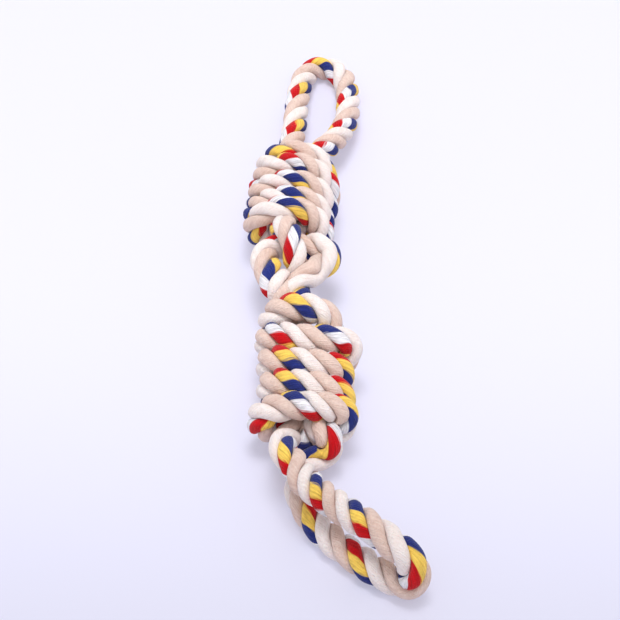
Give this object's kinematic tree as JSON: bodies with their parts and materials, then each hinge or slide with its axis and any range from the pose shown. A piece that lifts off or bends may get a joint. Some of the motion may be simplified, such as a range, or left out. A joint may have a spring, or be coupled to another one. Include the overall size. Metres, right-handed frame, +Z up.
{
  "type": "rope dog toy",
  "caption": "Cotton rope tug toy for dogs: linked ropes, each with a hand loop, a wound grip to bite on and a small eye that holds the other rope.",
  "frame": {"origin": "middle of the outline's underside, on the table that the toy lies on", "axes": "+Y along the toy, towards the loop that lies furthest from the viewer in the picture; +X to the viewer's right; +Z up from the table"},
  "size_m": [0.1024, 0.4496, 0.0516],
  "materials": {
    "rope_cream": "matte",
    "rope_tan": "matte"
  },
  "bodies": {
    "upper_grip": {"upper_winding": "rope_tan", "upper_core_left": "rope_cream", "upper_core_right": "rope_cream", "upper_eye": "rope_cream"},
    "far_loop": {"top_loop": "rope_cream"},
    "link": {"lower_eye": "rope_cream"},
    "lower_grip": {"lower_winding": "rope_tan", "lower_core_left": "rope_cream", "lower_core_right": "rope_cream", "lower_neck_left": "rope_cream", "lower_neck_right": "rope_cream"},
    "near_loop": {"bottom_loop": "rope_cream"}
  },
  "joints": [
    {"name": "far_loop_fold", "type": "hinge", "parent": "upper_grip", "child": "far_loop", "pos_m": [-0.01584, 0.10962, 0.022], "axis": [1, 0, 0], "range_deg": [-60, 100]},
    {"name": "link_swing", "type": "hinge", "parent": "upper_grip", "child": "link", "pos_m": [-0.01914, -0.00338, 0.0305], "axis": [0, 0, 1], "range_deg": [-18, 18], "deforming": ["upper_eye"]},
    {"name": "waist_bend", "type": "hinge", "parent": "link", "child": "lower_grip", "pos_m": [-0.01914, -0.03138, 0.0315], "axis": [1, 0, 0], "range_deg": [-35, 35], "deforming": ["lower_eye"]},
    {"name": "near_loop_swing", "type": "hinge", "parent": "lower_grip", "child": "near_loop", "pos_m": [-0.01914, -0.15638, 0.0202], "axis": [0, 0, 1], "range_deg": [-70, 30], "deforming": ["lower_neck_left", "lower_neck_right"]}
  ]
}
